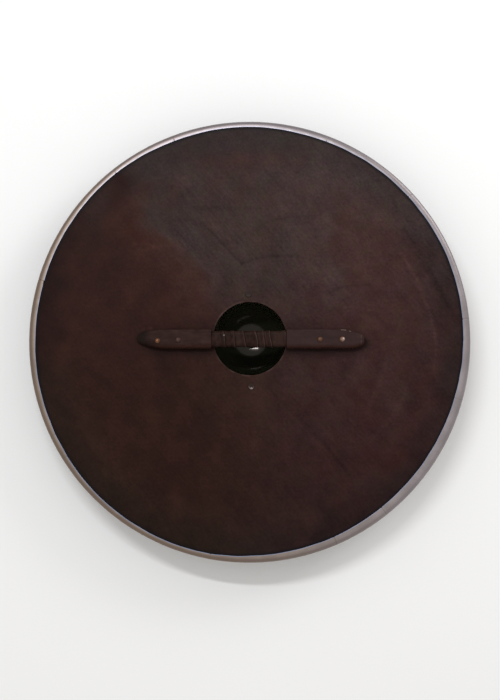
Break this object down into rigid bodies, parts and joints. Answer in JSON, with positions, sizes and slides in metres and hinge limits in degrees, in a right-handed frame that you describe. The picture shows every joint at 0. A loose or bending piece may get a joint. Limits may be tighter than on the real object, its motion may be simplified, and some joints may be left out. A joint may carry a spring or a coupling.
{
  "type": "wooden round shield",
  "caption": "Round one-piece wooden shield with a domed steel boss over the hand hole, a steel edge rim and a riveted wooden bar grip wound with leather.",
  "frame": {"origin": "under the middle of the shield, on the surface that the flattened top of the boss rests on", "axes": "+Z along the board's axis, out of its back, where the grip is; +X along the grip bar towards its blunt end; +Y across the bar"},
  "size_m": [0.76, 0.76, 0.1015],
  "materials": {
    "board_wood": "dark red-brown stain, brushed on by hand, satin",
    "handle_wood": "dark brown stain, satin, worn at the edges",
    "rim_steel": "satin, crimped by hand",
    "boss_enamel": "gloss black enamel on pressed steel",
    "boss_rivet_steel": "dulled, partly stained over",
    "handle_rivet_copper": "aged copper, hammered",
    "grip_leather": "dark red-brown, handled, edges worn lighter",
    "tack_metal": "plain, slightly dulled"
  },
  "bodies": {
    "root": {"board": "board_wood", "rim": "rim_steel", "boss": "boss_enamel", "handle": "handle_wood", "grip_wrap": "grip_leather", "grip_tack": "tack_metal", "handle_rivet_1": "handle_rivet_copper", "handle_rivet_2": "handle_rivet_copper", "handle_rivet_3": "handle_rivet_copper", "handle_rivet_4": "handle_rivet_copper", "boss_rivet_1": "boss_rivet_steel", "boss_rivet_2": "boss_rivet_steel", "boss_rivet_3": "boss_rivet_steel", "boss_rivet_4": "boss_rivet_steel"}
  },
  "joints": []
}
